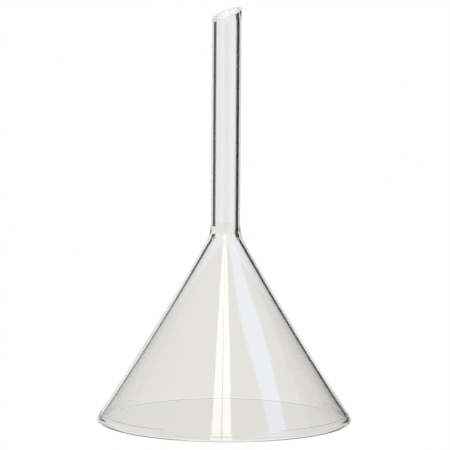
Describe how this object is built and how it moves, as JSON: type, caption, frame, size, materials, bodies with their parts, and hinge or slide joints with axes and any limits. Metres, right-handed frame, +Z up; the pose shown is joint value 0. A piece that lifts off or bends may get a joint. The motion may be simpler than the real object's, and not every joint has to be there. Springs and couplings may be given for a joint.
{
  "type": "filter funnel",
  "caption": "Clear glass filter funnel: a conical bowl with a rounded rim, sealed to a straight tubular stem with a bevel-cut tip, for pouring and filtering.",
  "frame": {"origin": "centre of the mouth, in the plane of the flat ring under the rim bead", "axes": "+Z up the stem from the mouth to the tip, so the funnel stands upside down on its mouth; the stem's bevel rises towards 38 degrees from +X to +Y"},
  "size_m": [0.07, 0.07, 0.1136],
  "materials": {
    "clear_glass": "clear, fire-polished borosilicate glass",
    "ground_glass": "clear tube with a fine-ground, lightly fire-polished slanted cut"
  },
  "bodies": {
    "root": {"rim_bead": "clear_glass", "cone_wall": "clear_glass", "neck_seal": "clear_glass", "stem_tube": "clear_glass", "bevelled_tip": "ground_glass"}
  },
  "joints": []
}
